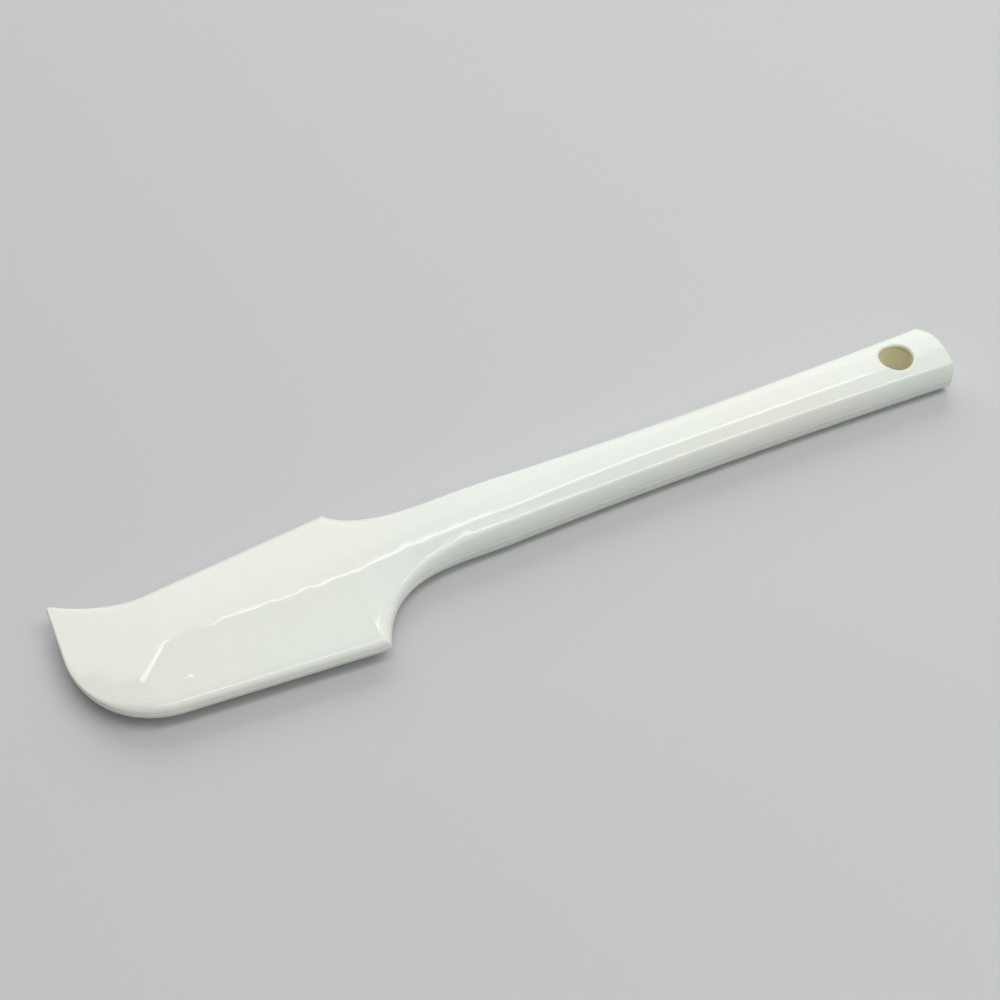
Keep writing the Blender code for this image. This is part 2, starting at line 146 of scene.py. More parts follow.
class SpatulaBlade(PropertyGroup):
    """Plan of the blade."""
    tip_corner: plan_point("Where the pointed corner lies", (0.7, 18.9))
    tip_corner_clip: length("How far the corner's rounding reaches along each edge", 1.3)
    flare_angle: turn("Direction in which the concave flare leaves the pointed corner", -36.3)
    flare_pull: length("Reach of the flare's first curve handle", 5.1)
    flare_end: plan_point("Where the flare meets the far straight edge", (22.9, 11.7))
    flare_end_pull: length("Reach of the flare's second curve handle", 8.0)
    round_top: plan_point("Where the tip edge turns into the rounded corner", (0.0, 1.0))
    round_top_pull: length("Reach of the rounded corner's first curve handle", 11.9)
    round_end: plan_point("Where the rounded corner meets the near straight edge", (21.3, -23.1))
    round_end_pull: length("Reach of the rounded corner's second curve handle", 14.3)
    far_shoulder: plan_point("Shoulder on the side of the pointed corner", (70.0, 16.8))
    near_shoulder: plan_point("Shoulder on the side of the rounded corner", (70.0, -26.6))


class SpatulaHandle(PropertyGroup):
    """Plan of the neck, the handle and the hanging hole."""
    far_neck_angle: turn("Direction in which the neck leaves the far shoulder", -53.5)
    far_neck_pull: length("Reach of the curve handle at the far shoulder", 10.9)
    near_neck_angle: turn("Direction in which the neck leaves the near shoulder", 69.8)
    near_neck_pull: length("Reach of the curve handle at the near shoulder", 21.3)
    handle_neck_pull: length("Reach of the curve handles where the neck ends", 15.7)
    start_x: length("Where the neck's curves end", 110.0)
    start_half_width: length("Half width where the neck's curves end", 8.95)
    waist_half_width: length("Half width where the handle is narrowest", 7.95)
    waist_x: length("Where the handle is narrowest", 163.3)
    end_half_width: length("Half width at the end of the handle", 9.2)
    end_far_length: length("Length of the end's rounding on the pointed corner's side", 5.5)
    end_near_length: length("Length of the end's rounding on the other side", 1.0)
    end_fullness: FloatProperty(description="Power of the superellipse of both roundings", default=1.9,
                                min=1.5, max=6.0)
    end_edge: length("Radius of the rounding of the end's edge", 0.35)
    side_turn: length("Length over which the neck's slanting rays turn square to the handle", 15.0)
    hole_from_end: length("Distance of the hanging hole's centre from the end", 13.4)
    hole_radius: length("Radius of the hanging hole in the skin", 4.375)
    hole_rim: length("Radius of the rounding of the hole's mouth", 0.8)


class SpatulaSection(PropertyGroup):
    """Heights of the skin over the parting plane, and the widths that they change over."""
    blade_crest: length("Height of the blade's flat band", 3.35)
    blade_edge: length("Half height of the blade's edge land", 0.75)
    blade_round: length("Width of the ellipse that the blade's edge rounding is cut from", 5.0)
    blade_crown: length("Height of the flat band over that ellipse", 0.55)
    handle_edge: length("Half height of the handle's edge land", 0.25)
    handle_round: length("Width of the ellipse that the handle's side is cut from", 3.8)
    handle_crown: length("Height of the flat band over that ellipse", 0.15)
    ridge_share: share("Share of the ellipse's width that the rounding takes up", 0.45)
    crease_slope: FloatProperty(description="Change of slope at the ridge", default=0.5)
    crease_drop: length("How much the ridge's rounding lowers it", 0.1)
    ramp_start_x: length("Where blade values start to change to handle values", 64.0)
    ramp_end_x: length("Where handle values are reached", 110.0)
    band_half_width: length("Half width of the flat band on the crest", 2.8)
    blade_softness: length("Softness of the band's edges on the blade", 0.3)
    handle_softness: length("Softness of the band's edges on the handle", 0.1)
    blade_band_y: length("Middle of the flat band on the blade", -2.1)
    band_turn_start: length("Where the band starts to move to the centre line", 90.0)
    band_turn_end: length("Where the band reaches the centre line", 150.0)
    band_sway: length("How far the band's edges sway along the blade", 0.28)
    neck_sway: length("How far the band's edges sway where the handle's values are reached", 0.08)
    sway_length: length("Distance from one sway to the next", 9.1)
    lip_round: length("Width of the edge rounding at the thin tip", 0.55)
    lip_near: length("Length of the thin lip on the side of the rounded corner", 15.0)
    lip_far: length("Length of the thin lip on the side of the pointed corner", 25.0)
    lip_turn_y: length("Where the pad's front starts to slant", -16.0)
    lip_turn_width: length("Width over which the pad's front slants", 18.0)
    lip_start: share("Share of the pad's height at the tip edge", 0.05)
    lip_softness: FloatProperty(description="Softness of the pad's front ridge", default=0.045, min=0.001)
    flash_reach: length("How far the mould's parting line stands out", 0.14)
    flash_height: length("Half height of the mould's parting line", 0.18)
    wave_height: length("Height of the moulding's soft waves", 0.012)
    wave_length: length("Distance from one soft wave to the next", 13.0)
    gate: plan_point("Where the moulding's gate left a low round mark", (24.2, -17.8))
    gate_radius: length("Spread of the gate mark's bell curve", 1.2)
    gate_height: length("Height of the gate mark", 0.155)


class SpatulaFineness(PropertyGroup):
    """How finely the skin's mesh is divided."""
    corner_steps: count("Steps round each tip corner", 64)
    clip_steps: count("Steps round the clipped tip corner", 10)
    blade_steps: count("Steps along each straight edge", 84)
    neck_steps: count("Steps along each side of the neck", 84)
    handle_steps: count("Steps along each side of the handle", 200)
    end_steps: count("Steps round each half of the end", 72)
    facet_steps: count("Steps across each side of the band", 17)
    band_steps: count("Steps across the flat band", 8)
    round_steps: count("Steps over the edge rounding", 16)
    mouth_steps: count("Steps from the mouth's surroundings to its rim", 8)
    rim_steps: count("Steps over the rounding of the hole's rim", 8)


class SpatulaFinish(PropertyGroup):
    """Colours and gloss of both materials."""
    silicone: colour("Main colour of the silicone", (0.825, 0.885, 0.81))
    silicone_cloud: colour("Colour of the silicone's faint clouds", (0.865, 0.88, 0.80))
    silicone_gloss: share("Roughness of the polished silicone", 0.07)
    nylon: colour("Main colour of the natural nylon", (0.91, 0.865, 0.64))
    nylon_cloud: colour("Colour of the nylon's faint clouds", (0.87, 0.82, 0.58))
    nylon_gloss: share("Roughness of the nylon", 0.42)


class SpatulaStage(PropertyGroup):
    """Camera, lights and floor."""
    lens_angle: turn("Angle that the square picture covers", 28.38)
    elevation: turn("Height angle of the camera", 49.05)
    azimuth: turn("Angle of the camera round the spatula, from the handle's side", -25.28)
    distance: length("Distance of the camera from the point it looks at", 487.7)
    target: plan_point("Point that the camera looks at", (111.9, 3.55))
    floor: colour("Colour of the floor", (0.61, 0.62, 0.62))
    floor_size: length("Length of each side of the floor", 6000.0)


def smooth(value):
    """Cubic that rises from 0 to 1 with level ends: 3 v squared less 2 v cubed."""
    value = np.clip(value, 0.0, 1.0)
    return value * value * (3.0 - 2.0 * value)


def blend(first, second, weight):
    return first + (second - first) * weight


def heading(angle):
    return np.array([math.cos(angle), math.sin(angle)])


def bezier(start, start_pull, end_pull, end, steps):
    """Cubic Bezier curve: the four points weighted with the Bernstein polynomials of its parameter."""
    t = np.linspace(0.0, 1.0, steps + 1)[:, None]
    return ((1 - t) ** 3 * start + 3 * (1 - t) ** 2 * t * (start + start_pull)
            + 3 * (1 - t) * t ** 2 * (end + end_pull) + t ** 3 * end)


def straight(start, end, steps):
    """Points of a straight run: start plus equal shares of the way to the end."""
    return start + (end - start) * np.linspace(0.0, 1.0, steps + 1)[:, None]


def chain(*runs):
    """Runs of points whose ends meet, joined with each shared point kept once."""
    return np.vstack([runs[0]] + [run[1:] for run in runs[1:]])


def unit(vectors):
    return vectors / np.linalg.norm(vectors, axis=-1, keepdims=True)


def handle_half_width(handle, x):
    """Two half parabolas over x that meet at the waist, where the handle is narrowest."""
    start_rise = (handle.start_half_width - handle.waist_half_width) / (handle.start_x - handle.waist_x) ** 2
    end_rise = (handle.end_half_width - handle.waist_half_width) / (LENGTH - handle.waist_x) ** 2
    rise = np.where(np.asarray(x) < handle.waist_x, start_rise, end_rise)
    return handle.waist_half_width + rise * (x - handle.waist_x) ** 2


def even_run(curve, steps):
    """Points at equal steps of travel along a finely drawn curve."""
    travel = np.concatenate([[0.0], np.cumsum(np.linalg.norm(np.diff(curve, axis=0), axis=1))])
    marks = np.linspace(0.0, travel[-1], steps + 1)
    return np.stack([np.interp(marks, travel, values) for values in curve.T], axis=1)


def handle_end(handle, side, steps):
    """One half of the end's outline, from where the far rounding starts to the centre line.

    Each half ends in a quarter of a superellipse: its two coordinates are powers of a sine and a cosine.
    """
    far = side > 0
    reach = handle.end_far_length if far else handle.end_near_length
    power = 2.0 / handle.end_fullness
    angle = np.linspace(0.0, 0.5 * math.pi, CURVE_STEPS)
    start_x = LENGTH - handle.end_far_length
    corner_x = LENGTH - reach
    x = corner_x + reach * np.sin(angle) ** power
    y = handle_half_width(handle, x) * np.cos(angle) ** power
    y[-1] = 0.0
    straight_x = np.linspace(start_x, corner_x, CURVE_STEPS // 2)
    run = np.stack([straight_x, handle_half_width(handle, straight_x)], axis=1)
    quarter = np.stack([x, y], axis=1)
    curve = even_run(quarter if far else np.vstack([run, quarter[1:]]), steps)
    return curve * (1.0, side)


def handle_side(handle, fine, side):
    """One side of the handle: the parabola, then its half of the end's outline."""
    x = np.linspace(handle.start_x, LENGTH - handle.end_far_length, fine.handle_steps + 1)
    run = np.stack([x, side * handle_half_width(handle, x)], axis=1)
    return chain(run, handle_end(handle, side, fine.end_steps))


def neck_side(handle, fine, side, shoulder):
    """Concave Bezier sweep from a shoulder to the start of the handle's side."""
    angle = handle.far_neck_angle if side > 0 else handle.near_neck_angle
    pull = handle.far_neck_pull if side > 0 else handle.near_neck_pull
    half = handle_half_width(handle, handle.start_x)
    rise = handle_half_width(handle, handle.start_x + SMALL_STEP) - half
    along = unit(np.array([SMALL_STEP, side * rise]))
    end = np.array([handle.start_x, side * half])
    return bezier(shoulder, pull * heading(angle), -handle.handle_neck_pull * along, end, fine.neck_steps)


def blade_outline(blade, handle, fine):
    """Both sides of the outline, each with the same number of points, from the tip edge to the end."""
    corner, flare_end, far_shoulder, round_top, round_end, near_shoulder = (
        np.array(point) for point in (blade.tip_corner, blade.flare_end, blade.far_shoulder, blade.round_top,
                                      blade.round_end, blade.near_shoulder))
    flare_way = heading(blade.flare_angle)
    clip_start = corner + blade.tip_corner_clip * unit(round_top - corner)
    clip_end = corner + blade.tip_corner_clip * flare_way
    clip_peak = np.array([blend(clip_start[0], clip_end[0], CLIP_LEAN), clip_end[1]])
    clip = bezier(clip_start, CLIP_PULL * (clip_peak - clip_start), CLIP_PULL * (clip_peak - clip_end),
                  clip_end, fine.clip_steps)
    flare = bezier(clip_end, blade.flare_pull * flare_way,
                   -blade.flare_end_pull * unit(far_shoulder - flare_end), flare_end,
                   fine.corner_steps - fine.clip_steps)
    far = chain(clip, flare, straight(flare_end, far_shoulder, fine.blade_steps),
                neck_side(handle, fine, 1, far_shoulder), handle_side(handle, fine, 1))

    round_corner = bezier(round_top, np.array([0.0, -blade.round_top_pull]),
                          -blade.round_end_pull * unit(near_shoulder - round_end), round_end,
                          fine.corner_steps)
    near = chain(round_corner, straight(round_end, near_shoulder, fine.blade_steps),
                 neck_side(handle, fine, -1, near_shoulder), handle_side(handle, fine, -1))
    return far, near


def inward_rays(loop):
    """Direction and stretch for moving each point of a closed outline inwards by a distance.

    The direction is the inward normal averaged along the outline with a bell curve, which keeps rays from
    crossing at the corners. The stretch, 1 over the cosine between the two, keeps the distance true.
    """
    before = unit(loop - np.roll(loop, 1, axis=0))
    after = unit(np.roll(loop, -1, axis=0) - loop)
    tangent = unit(before + after)
    normal = np.stack([tangent[:, 1], -tangent[:, 0]], axis=1)
    step = np.linalg.norm(np.roll(loop, -1, axis=0) - loop, axis=1)
    travel = np.concatenate([[0.0], np.cumsum(step)[:-1]])
    apart = np.abs(travel[:, None] - travel[None, :])
    apart = np.minimum(apart, step.sum() - apart)
    weight = np.exp(-0.5 * (apart / RAY_SPREAD) ** 2) * (0.5 * (step + np.roll(step, 1)))[None, :]
    ray = unit(weight @ normal)
    mitre = np.sqrt(0.5 * (1.0 + (before * after).sum(axis=1)))
    facing = np.maximum((ray * normal).sum(axis=1), LEAST_FACING)
    return ray, 1.0 / (facing * mitre)


def handle_rays(handle, loop, rays, stretch):
    """Rays and stretches whose handle part points squarely across, blended in after the neck."""
    weight = smooth((loop[:, 0] - handle.start_x) / handle.side_turn)
    weight[loop[:, 0] > LENGTH - handle.end_far_length] = 0.0
    across = np.stack([np.zeros(len(loop)), -np.sign(loop[:, 1])], axis=1)
    return unit(blend(rays, across, weight[:, None])), blend(stretch, 1.0, weight)


class SkinForm:
    """The skin's heights as functions of the place in plan."""

    def __init__(self, handle, section):
        self.h = handle
        self.s = section
        self.hole_x = LENGTH - handle.hole_from_end

    def ramp(self, blade_value, handle_value, x):
        """Blade value before the neck, handle value after it, and a smooth cubic between."""
        start, end = self.s.ramp_start_x, self.s.ramp_end_x
        return blend(blade_value, handle_value, smooth((x - start) / (end - start)))

    def round_width(self, x):
        """Width of the edge ellipse: the lip's at the tip, then the blade's, then the handle's."""
        s = self.s
        return self.ramp(blend(s.lip_round, s.blade_round, smooth(x / s.lip_near)), s.handle_round, x)

    def edge(self, x):
        return self.ramp(self.s.blade_edge, self.s.handle_edge, x)

    def crest(self, x):
        return self.ramp(self.s.blade_crest, HALF_THICKNESS, x)

    def band_middle(self, x):
        """Y of the flat band's middle: the blade's and two sines, then a smooth cubic to the centre line."""
        s = self.s
        turned = smooth((x - s.band_turn_start) / (s.band_turn_end - s.band_turn_start))
        k = 2.0 * math.pi / s.sway_length
        sines = np.sin(k * x) + SWAY_SIZE * np.sin(SWAY_TURNS * k * x + SWAY_OFFSET)
        sway = self.ramp(s.band_sway, s.neck_sway, x) * sines
        return blend(s.blade_band_y + sway, 0.0, turned)

    def ellipse_height(self, x):
        crown = self.ramp(self.s.blade_crown, self.s.handle_crown, x)
        return self.crest(x) - crown - self.edge(x)

    def ridge_angle(self):
        """Angle on the edge ellipse at which the rounding meets the facet: its sine is 1 less the share."""
        return math.asin(1.0 - self.s.ridge_share)

    def crease(self, distance):
        """Drop that rounds the ridge over: a hyperbola of the distance from it, less its straight arms."""
        arm = 0.5 * self.s.crease_slope * np.abs(distance)
        return np.sqrt(arm ** 2 + self.s.crease_drop ** 2) - arm

    def lip(self, x, y):
        """Share of the pad's height: x over the lip's length, softly capped at 1 by a hyperbola."""
        s = self.s
        reach = blend(s.lip_near, s.lip_far, smooth((y - s.lip_turn_y) / s.lip_turn_width))
        u = np.maximum(x, 0.0) / reach
        capped = 0.5 * (u + 1.0 - np.sqrt((u - 1.0) ** 2 + 4.0 * s.lip_softness ** 2))
        return s.lip_start + (1.0 - s.lip_start) * capped

    def waves(self, x, y, phase):
        """Soft moulding waves, as sines that stay below 0, and the gate mark, as a bell curve."""
        s = self.s
        k = 2.0 * math.pi / s.wave_length
        waves = 0.0
        for weight, *sines in WAVES:
            product = weight
            for along_x, along_y, offset, of_phase in sines:
                product = product * np.sin(k * (along_x * x + along_y * y) + offset + of_phase * phase)
            waves = waves + product - weight
        apart = (x - s.gate[0]) ** 2 + (y - s.gate[1]) ** 2
        return s.wave_height * waves + s.gate_height * np.exp(-0.5 * apart / s.gate_radius ** 2)

    def rounding(self, x, y, angle, phase):
        """Height on the edge rounding: the edge land plus the ellipse's height times the angle's cosine."""
        wave = self.waves(x, y, phase) / math.cos(self.ridge_angle())
        arc = (self.ellipse_height(x) + wave) * np.cos(angle)
        outside = self.round_width(x) * (self.s.ridge_share - 1.0 + np.sin(angle))
        return self.edge(x) + (arc - self.crease(outside)) * self.lip(x, y)

    def facet(self, x, y, beyond, reach, phase):
        """Height inside the ridges.

        It is the crest less a fall, a hyperbola of the distance beyond the flat band's edge, scaled so that
        it is 0 on the band's middle and meets the edge rounding after the given reach.
        """
        soft = self.ramp(self.s.blade_softness, self.s.handle_softness, x)
        half = self.s.band_half_width

        def hinge(distance):
            return 0.5 * (distance + np.sqrt(distance ** 2 + 4.0 * soft ** 2))

        fall = (hinge(beyond) - hinge(-half)) / (hinge(reach) - hinge(-half))
        ridge = self.ellipse_height(x) * math.cos(self.ridge_angle())
        top = self.crest(x) - self.edge(x)
        height = blend(top, ridge, fall) + self.waves(x, y, phase) - self.crease(reach - beyond)
        return self.edge(x) + height * self.lip(x, y)

    def side_half_width(self, x):
        """Half width of the handle without the parting line's bead."""
        return handle_half_width(self.h, x) - self.s.flash_reach

    def handle_height(self, x, y, phase):
        """Height anywhere on the handle: the edge ellipse's up to the ridge, and the facet's inside it."""
        s = self.s
        inset = np.maximum(self.side_half_width(x) - np.abs(y), 0.0)
        angle = np.arcsin(np.clip(1.0 - inset / s.handle_round, 0.0, 1.0))
        ridge = s.ridge_share * s.handle_round
        reach = self.side_half_width(x) - ridge - s.band_half_width
        inside = self.facet(x, y, np.abs(y) - s.band_half_width, reach, phase)
        return np.where(inset < ridge, self.rounding(x, y, angle, phase), inside)

    def end_row(self, curve, angle, phase):
        """Row of the skin round the handle's end for an angle on the edge rounding, as plan and height.

        Its points lie a little inside the end's outline, and no farther out than the same angle's line along
        the handle's side. Their height is the handle's less the drop of the end's small rounded edge.
        """
        h, s = self.h, self.s
        way = unit(np.gradient(curve, axis=0))
        inward = np.stack([-np.abs(way[:, 1]), -np.sign(curve[:, 1]) * np.abs(way[:, 0])], axis=1)
        small = 1.0 - math.sin(angle)
        plan = curve + inward * (h.end_edge * small)
        most = self.side_half_width(plan[:, 0]) - s.handle_round * small
        plan[:, 1] = np.sign(plan[:, 1]) * np.minimum(np.abs(plan[:, 1]), most)
        gap = np.min(np.linalg.norm(plan[:, None] - curve[None], axis=2), axis=1)
        wall = self.handle_height(curve[:, 0], curve[:, 1], phase) - s.handle_edge
        edge = h.end_edge * smooth(wall / (2.0 * h.end_edge))
        depth = np.clip(1.0 - gap / h.end_edge, 0.0, 1.0)
        drop = edge * (1.0 - np.sqrt(1.0 - depth ** 2))
        height = self.handle_height(plan[:, 0], plan[:, 1], phase) - drop
        return plan, np.maximum(height, s.handle_edge)


def spaced(steps, crowd_start, crowd_end):
    """Shares from 0 to 1, drawn together towards the ends that are asked for by a cosine."""
    t = np.linspace(0.0, 1.0, steps + 1)
    if crowd_start and crowd_end:
        return 0.5 * (1.0 - np.cos(math.pi * t))
    if crowd_end:
        return np.sin(0.5 * math.pi * t)
    return 1.0 - np.cos(0.5 * math.pi * t)


def columns_across(form, fine, near, far):
    """Shares, distances beyond the band's edge and reaches of the columns of each row from near to far.

    A row is a straight line from its near ridge point to its far ridge point. The flat band's edges split it
    in three: the near facet, the band and the far facet.
    """
    s = form.s
    row_length = np.linalg.norm(far - near, axis=1)
    middle = form.band_middle(0.5 * (near[:, 0] + far[:, 0]))
    rise = np.maximum(far[:, 1] - near[:, 1], SMALL_STEP)
    low = (middle - s.band_half_width - near[:, 1]) / rise
    high = (middle + s.band_half_width - near[:, 1]) / rise
    low = np.clip(low, LEAST_FACET, 1.0 - LEAST_FACET - LEAST_BAND)
    high = np.clip(high, low + LEAST_BAND, 1.0 - LEAST_FACET)
    low, high, row_length = low[:, None], high[:, None], row_length[:, None]
    ends = spaced(fine.facet_steps, True, True)[None, :]
    flat = spaced(fine.band_steps, True, True)[None, :]
    shares = np.hstack([low * ends, blend(low, high, flat)[:, 1:], blend(high, 1.0, ends)[:, 1:]])
    centre = 0.5 * (low + high)
    half = 0.5 * (high - low)
    beyond = (np.abs(shares - centre) - half) * row_length
    reach = np.where(shares < centre, low, 1.0 - high) * row_length
    return shares, beyond, reach


def sheet_quads(grid):
    """Quads of an open grid of vertex numbers."""
    corners = [grid[:-1, :-1], grid[:-1, 1:], grid[1:, 1:], grid[1:, :-1]]
    return np.stack([corner.ravel() for corner in corners], axis=1)


def strip_quads(rows):
    """Quads of a stack of closed rows of vertex numbers."""
    return sheet_quads(np.hstack([rows, rows[:, :1]]))


class SkinMesh:
    """Collects the skin's points and faces as arrays."""

    def __init__(self):
        self.points = []
        self.count = 0
        self.quads = []
        self.triangles = []

    def add(self, points):
        """Add an array of points and return their numbers in the array's own shape."""
        shape = points.shape[:-1]
        size = int(np.prod(shape))
        self.points.append(points.reshape(-1, 3))
        numbers = np.arange(self.count, self.count + size).reshape(shape)
        self.count += size
        return numbers


def outline_rows(form, fine, far, near):
    """Closed rows of points round the edge, from the top ridge over the parting line to the bottom ridge.

    A row runs along the far side to the end, back along the near side, and over the tip edge. It is the
    outline moved inwards along its rays to an angle on the edge ellipse.
    """
    last = len(far) - 1
    tip_shares, _, _ = columns_across(form, fine, near[:1], far[:1])
    tip = near[0] + (far[0] - near[0]) * tip_shares[0][1:-1, None]
    loop = np.vstack([far, near[-2::-1], tip])
    rays, stretch = handle_rays(form.h, loop, *inward_rays(loop))
    width = form.round_width(loop[:, 0])
    body = loop + rays * (form.s.flash_reach * stretch)[:, None]
    end = slice(last - fine.end_steps, last + fine.end_steps + 1)
    inner_end = slice(end.start + 1, end.stop - 1)

    def edge_row(angle, side, phase):
        inset = width * (1.0 - math.sin(angle))
        plan = body + rays * (inset * stretch)[:, None]
        height = form.rounding(plan[:, 0], plan[:, 1], angle, phase)
        end_plan, end_height = form.end_row(body[end], angle, phase)
        plan[inner_end] = end_plan[1:-1]
        height[inner_end] = end_height[1:-1]
        return np.column_stack([plan, side * height])

    def land_row(outline, height):
        return np.column_stack([outline, np.full(len(outline), height)])

    angles = blend(form.ridge_angle(), 0.5 * math.pi, spaced(fine.round_steps, True, False))
    top, bottom = ([edge_row(angle, *face) for angle in angles] for face in (TOP, BOTTOM))
    foot = form.s.flash_height
    crest = FLASH_TAPER * foot
    land = [land_row(body, foot), land_row(loop, crest), land_row(loop, -crest), land_row(body, -foot)]
    return np.stack(top + land + bottom[::-1])


def mouth_span(form, fine):
    """Numbers of the straight rows before and after the surroundings of the hanging hole."""
    h = form.h
    handle_start = fine.corner_steps + fine.blade_steps + fine.neck_steps
    step = (LENGTH - h.end_far_length - h.start_x) / fine.handle_steps
    surround = SURROUND * (h.hole_radius + h.hole_rim)
    edges = (form.hole_x - surround, form.hole_x + surround)
    return [handle_start + int(round((edge - h.start_x) / step)) for edge in edges]


def add_face(mesh, form, fine, ridge, last, face):
    """Straight rows across one face of the skin, from ridge to ridge, left open round the hanging hole.

    The ridge is the closed row of point numbers that they end on, and last is the number of the end's point
    in it. What comes back is the closed border of the opening.
    """
    side, phase = face
    first, final = mouth_span(form, fine)
    near_ridge, far_ridge = ridge[2 * last - np.arange(last + 1)], ridge[:last + 1]
    near, far = (mesh.points[0][numbers, :2] for numbers in (near_ridge, far_ridge))
    shares, beyond, reach = columns_across(form, fine, near, far)
    place = near[:, None] + (far - near)[:, None] * shares[..., None]
    height = form.facet(place[..., 0], place[..., 1], beyond, reach, phase)
    height[first:] = form.handle_height(place[first:, :, 0], place[first:, :, 1], phase)
    grid = np.zeros(shares.shape, int)
    grid[:, 0] = near_ridge
    grid[:, -1] = far_ridge
    grid[0, 1:-1] = ridge[2 * last + 1:]
    for start, stop in ((1, first + 1), (final, last)):
        inner = np.concatenate([place[start:stop, 1:-1], side * height[start:stop, 1:-1, None]], axis=-1)
        grid[start:stop, 1:-1] = mesh.add(inner)
    before_end = grid[last - 1]
    fan = np.stack([before_end[:-1], before_end[1:], np.full(len(before_end) - 1, grid[last, 0])], axis=1)
    order = -1 if side > 0 else 1
    for sheet in (sheet_quads(grid[:first + 1]), sheet_quads(grid[final:last])):
        mesh.quads.append(sheet[:, ::order])
    mesh.triangles.append(fan[:, ::order])
    return np.concatenate([grid[first, :-1], grid[first:final, -1], grid[final, :0:-1],
                           grid[final:first:-1, 0]])


def add_mouth(mesh, form, fine, borders):
    """Closed rows from the border round the hole to the rim, over it and through the throat.

    A row's point is the border's point moved along the line to the hole's axis. The rim turns a quarter
    circle, whose height is the surface's less the rim's radius times 1 less the angle's cosine.
    """
    radius, rim = form.h.hole_radius, form.h.hole_rim
    centre = (form.hole_x, 0.0)
    start = np.vstack(mesh.points)[borders[0]][:, :2] - centre
    start_radius = np.linalg.norm(start, axis=1)
    way = start / start_radius[:, None]

    def row(distance, drop, side, phase):
        plan = way * np.reshape(distance, (-1, 1)) + centre
        height = form.handle_height(plan[:, 0], plan[:, 1], phase) - drop
        return np.column_stack([plan, side * height])

    closing = spaced(fine.mouth_steps, False, True)[1:]
    turns = np.linspace(0.0, 0.5 * math.pi, fine.rim_steps + 1)[1:]
    steps = [(blend(start_radius, radius + rim, t), 0.0) for t in closing]
    steps += [(radius + rim * (1.0 - math.sin(angle)), rim * (1.0 - math.cos(angle))) for angle in turns]
    top, bottom = ([row(*step, *face) for step in steps] for face in (TOP, BOTTOM))
    throat = [blend(top[-1], bottom[-1], t) for t in np.linspace(0.0, 1.0, THROAT_STEPS + 1)[1:-1]]
    numbers = mesh.add(np.stack(top + throat + bottom[::-1]))
    mesh.quads.append(strip_quads(np.vstack([borders[0], numbers, borders[1]]))[:, ::-1])


def skin_arrays(blade, handle, section, fine):
    """Points and faces of the skin as one closed surface.

    Closed rows go round its edge, straight rows join the ridges across the top and the bottom, and closed
    rows line the hanging hole from one face to the other.
    """
    form = SkinForm(handle, section)
    mesh = SkinMesh()
    far, near = blade_outline(blade, handle, fine)
    rows = mesh.add(outline_rows(form, fine, far, near))
    mesh.quads.append(strip_quads(rows))
    last = len(far) - 1
    borders = [add_face(mesh, form, fine, rows[0], last, TOP),
               add_face(mesh, form, fine, rows[-1], last, BOTTOM)]
    add_mouth(mesh, form, fine, borders)
    return np.vstack(mesh.points), np.vstack(mesh.quads), np.vstack(mesh.triangles)


def make_mesh(name, points, quads, triangles):
    """Put arrays of points and faces into a new mesh, with foreach_set."""
    mesh = bpy.data.meshes.new(name)
    mesh.vertices.add(len(points))
    mesh.vertices.foreach_set("co", points.astype(np.float32).ravel())
    corners = np.concatenate([quads.ravel(), triangles.ravel()])
    totals = np.concatenate([np.full(len(quads), 4), np.full(len(triangles), 3)])
    mesh.loops.add(len(corners))
    mesh.loops.foreach_set("vertex_index", corners.astype(np.int32))
    mesh.polygons.add(len(totals))
    starts = np.concatenate([[0], np.cumsum(totals)[:-1]])
    mesh.polygons.foreach_set("loop_start", starts.astype(np.int32))
    mesh.update(calc_edges=True)
    mesh.validate()
    return mesh


def link(name, data):
    thing = bpy.data.objects.new(name, data)
    bpy.context.scene.collection.objects.link(thing)
    return thing


def merged_copy(node, name):
    """A copy of a CAD node whose loose triangles are joined at their shared corners."""
    copy = link(name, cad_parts[node].data.copy())
    weld = copy.modifiers.new("weld", 'WELD')
    weld.merge_threshold = 0.001 * MM
    return copy


def apply_modifiers(thing):
    """Replace an object's mesh with its evaluated one, so that no modifier is left on it."""
    graph = bpy.context.evaluated_depsgraph_get()
    done = bpy.data.meshes.new_from_object(thing.evaluated_get(graph))
    old = thing.data
    thing.modifiers.clear()
    thing.data = done
    bpy.data.meshes.remove(old)


def new_group(name, inputs, outputs):
    """Start a shader node group with float or colour sockets."""
    tree = bpy.data.node_groups.new(name, 'ShaderNodeTree')
    for socket, kind, default in inputs:
        made = tree.interface.new_socket(socket, in_out='INPUT', socket_type='NodeSocket' + kind)
        made.default_value = default
    for socket, kind in outputs:
        tree.interface.new_socket(socket, in_out='OUTPUT', socket_type='NodeSocket' + kind)
    return tree, tree.nodes.new('NodeGroupInput'), tree.nodes.new('NodeGroupOutput')


def add_node(tree, kind, links=None, **values):
    """Add a node, set its properties, and link or fill its inputs by name or number."""
    node = tree.nodes.new(kind)
    for name, value in values.items():
        setattr(node, name, value)
    for socket, source in (links or {}).items():
        if isinstance(source, bpy.types.NodeSocket):
            tree.links.new(source, node.inputs[socket])
        else:
            node.inputs[socket].default_value = source
    return node


def mixed_colour(tree, weight, first, second):
    """Mix two colours by a weight, all sockets, and return the mix's own socket."""
    mix = tree.nodes.new('ShaderNodeMix')
    mix.data_type = 'RGBA'
    sockets = [mix.inputs[0]] + [socket for socket in mix.inputs if socket.type == 'RGBA']
    for source, socket in zip((weight, first, second), sockets):
        tree.links.new(source, socket)
    return next(socket for socket in mix.outputs if socket.type == 'RGBA')


def object_space(tree):
    """The object's own coordinates."""
    return add_node(tree, 'ShaderNodeTexCoord').outputs['Object']


